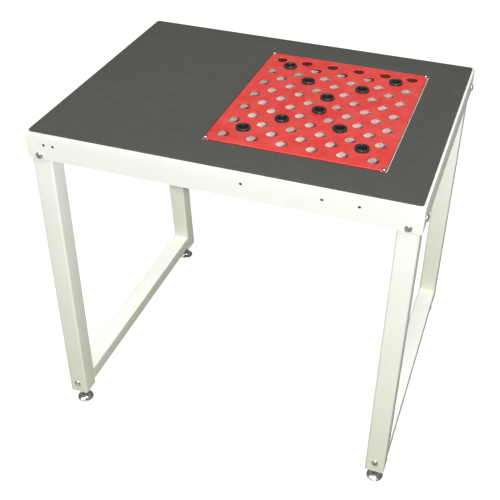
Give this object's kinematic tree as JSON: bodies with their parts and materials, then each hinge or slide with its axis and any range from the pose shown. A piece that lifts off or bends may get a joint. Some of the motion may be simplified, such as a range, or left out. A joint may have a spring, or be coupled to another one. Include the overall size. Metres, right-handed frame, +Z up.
{
  "type": "welding table",
  "caption": "Free-standing welding table: flat work top with an inset perforated fixture plate and lift-out bushings, on leaning bolted legs with levelling feet.",
  "frame": {"origin": "on the floor, under the middle of the table's plan", "axes": "+X along the width to the right, +Y from the front to the rear, +Z up"},
  "size_m": [0.931, 0.776, 0.8653],
  "materials": {
    "white_paint": "satin off-white powder coat",
    "work_mat": "matt, fine grained",
    "red_paint": "satin",
    "black_bushing": "black oxide, slightly glossy",
    "bright_steel": "bright plated",
    "insert_grey": "grey, plain"
  },
  "bodies": {
    "table": {"work_mat": "work_mat", "deck_sheet": "white_paint", "front_apron": "white_paint", "rear_apron": "white_paint", "left_apron": "white_paint", "right_apron": "white_paint", "left_bottom_rail": "white_paint", "right_bottom_rail": "white_paint", "left_top_rail": "white_paint", "right_top_rail": "white_paint", "front_cross_rail": "white_paint", "rear_cross_rail": "white_paint", "plate_tray": "white_paint", "fixture_plate": "red_paint", "front_left_leg": "white_paint", "front_left_leg_insert": "insert_grey", "front_left_plate_screw": "bright_steel", "front_left_apron_bolt": "bright_steel", "front_left_side_bolt": "bright_steel", "front_left_rail_bolt": "bright_steel", "front_left_lock_nut": "bright_steel", "front_right_leg": "white_paint", "front_right_leg_insert": "insert_grey", "front_right_plate_screw": "bright_steel", "front_right_apron_bolt": "bright_steel", "front_right_side_bolt": "bright_steel", "front_right_rail_bolt": "bright_steel", "front_right_lock_nut": "bright_steel", "rear_left_leg": "white_paint", "rear_left_leg_insert": "insert_grey", "rear_left_plate_screw": "bright_steel", "rear_left_apron_bolt": "bright_steel", "rear_left_side_bolt": "bright_steel", "rear_left_rail_bolt": "bright_steel", "rear_left_lock_nut": "bright_steel", "rear_right_leg": "white_paint", "rear_right_leg_insert": "insert_grey", "rear_right_plate_screw": "bright_steel", "rear_right_apron_bolt": "bright_steel", "rear_right_side_bolt": "bright_steel", "rear_right_rail_bolt": "bright_steel", "rear_right_lock_nut": "bright_steel"},
    "front_left_foot_pad": {"front_left_foot_pad": "bright_steel"},
    "front_right_foot_pad": {"front_right_foot_pad": "bright_steel"},
    "rear_left_foot_pad": {"rear_left_foot_pad": "bright_steel"},
    "rear_right_foot_pad": {"rear_right_foot_pad": "bright_steel"},
    "front_left_foot_stem": {"front_left_foot_stem": "bright_steel"},
    "front_right_foot_stem": {"front_right_foot_stem": "bright_steel"},
    "rear_left_foot_stem": {"rear_left_foot_stem": "bright_steel"},
    "rear_right_foot_stem": {"rear_right_foot_stem": "bright_steel"},
    "bushing_rear_left": {"bushing_rear_left": "black_bushing"},
    "bushing_rear_right": {"bushing_rear_right": "black_bushing"},
    "bushing_upper_left": {"bushing_upper_left": "black_bushing"},
    "bushing_upper_right": {"bushing_upper_right": "black_bushing"},
    "bushing_middle_rear": {"bushing_middle_rear": "black_bushing"},
    "bushing_middle_front": {"bushing_middle_front": "black_bushing"},
    "bushing_lower_left": {"bushing_lower_left": "black_bushing"},
    "bushing_lower_right": {"bushing_lower_right": "black_bushing"},
    "bushing_front_left": {"bushing_front_left": "black_bushing"},
    "bushing_front_right": {"bushing_front_right": "black_bushing"}
  },
  "joints": [
    {"name": "front_left_foot_lift", "type": "slide", "parent": "table", "child": "front_left_foot_pad", "axis": [0, 0, 1], "range_m": [-0.009, 0.0055]},
    {"name": "front_left_stem_turn", "type": "hinge", "parent": "front_left_foot_pad", "child": "front_left_foot_stem", "pos_m": [-0.43, -0.35894, 0.03], "axis": [0, 0, 1], "range_deg": [-1800, 1080]},
    {"name": "front_right_foot_lift", "type": "slide", "parent": "table", "child": "front_right_foot_pad", "axis": [0, 0, 1], "range_m": [-0.009, 0.0055]},
    {"name": "front_right_stem_turn", "type": "hinge", "parent": "front_right_foot_pad", "child": "front_right_foot_stem", "pos_m": [0.43, -0.35894, 0.03], "axis": [0, 0, 1], "range_deg": [-1800, 1080]},
    {"name": "rear_left_foot_lift", "type": "slide", "parent": "table", "child": "rear_left_foot_pad", "axis": [0, 0, 1], "range_m": [-0.009, 0.0055]},
    {"name": "rear_left_stem_turn", "type": "hinge", "parent": "rear_left_foot_pad", "child": "rear_left_foot_stem", "pos_m": [-0.43, 0.35894, 0.03], "axis": [0, 0, 1], "range_deg": [-1800, 1080]},
    {"name": "rear_right_foot_lift", "type": "slide", "parent": "table", "child": "rear_right_foot_pad", "axis": [0, 0, 1], "range_m": [-0.009, 0.0055]},
    {"name": "rear_right_stem_turn", "type": "hinge", "parent": "rear_right_foot_pad", "child": "rear_right_foot_stem", "pos_m": [0.43, 0.35894, 0.03], "axis": [0, 0, 1], "range_deg": [-1800, 1080]},
    {"name": "bushing_rear_left_lift", "type": "slide", "parent": "table", "child": "bushing_rear_left", "axis": [0, 0, 1], "range_m": [0, 0.03]},
    {"name": "bushing_rear_right_lift", "type": "slide", "parent": "table", "child": "bushing_rear_right", "axis": [0, 0, 1], "range_m": [0, 0.03]},
    {"name": "bushing_upper_left_lift", "type": "slide", "parent": "table", "child": "bushing_upper_left", "axis": [0, 0, 1], "range_m": [0, 0.03]},
    {"name": "bushing_upper_right_lift", "type": "slide", "parent": "table", "child": "bushing_upper_right", "axis": [0, 0, 1], "range_m": [0, 0.03]},
    {"name": "bushing_middle_rear_lift", "type": "slide", "parent": "table", "child": "bushing_middle_rear", "axis": [0, 0, 1], "range_m": [0, 0.03]},
    {"name": "bushing_middle_front_lift", "type": "slide", "parent": "table", "child": "bushing_middle_front", "axis": [0, 0, 1], "range_m": [0, 0.03]},
    {"name": "bushing_lower_left_lift", "type": "slide", "parent": "table", "child": "bushing_lower_left", "axis": [0, 0, 1], "range_m": [0, 0.03]},
    {"name": "bushing_lower_right_lift", "type": "slide", "parent": "table", "child": "bushing_lower_right", "axis": [0, 0, 1], "range_m": [0, 0.03]},
    {"name": "bushing_front_left_lift", "type": "slide", "parent": "table", "child": "bushing_front_left", "axis": [0, 0, 1], "range_m": [0, 0.03]},
    {"name": "bushing_front_right_lift", "type": "slide", "parent": "table", "child": "bushing_front_right", "axis": [0, 0, 1], "range_m": [0, 0.03]}
  ],
  "couplings": [
    {"joint": "front_left_foot_lift", "follows": "front_left_stem_turn", "m_per_rad": 0.00027852},
    {"joint": "front_right_foot_lift", "follows": "front_right_stem_turn", "m_per_rad": 0.00027852},
    {"joint": "rear_left_foot_lift", "follows": "rear_left_stem_turn", "m_per_rad": 0.00027852},
    {"joint": "rear_right_foot_lift", "follows": "rear_right_stem_turn", "m_per_rad": 0.00027852}
  ]
}
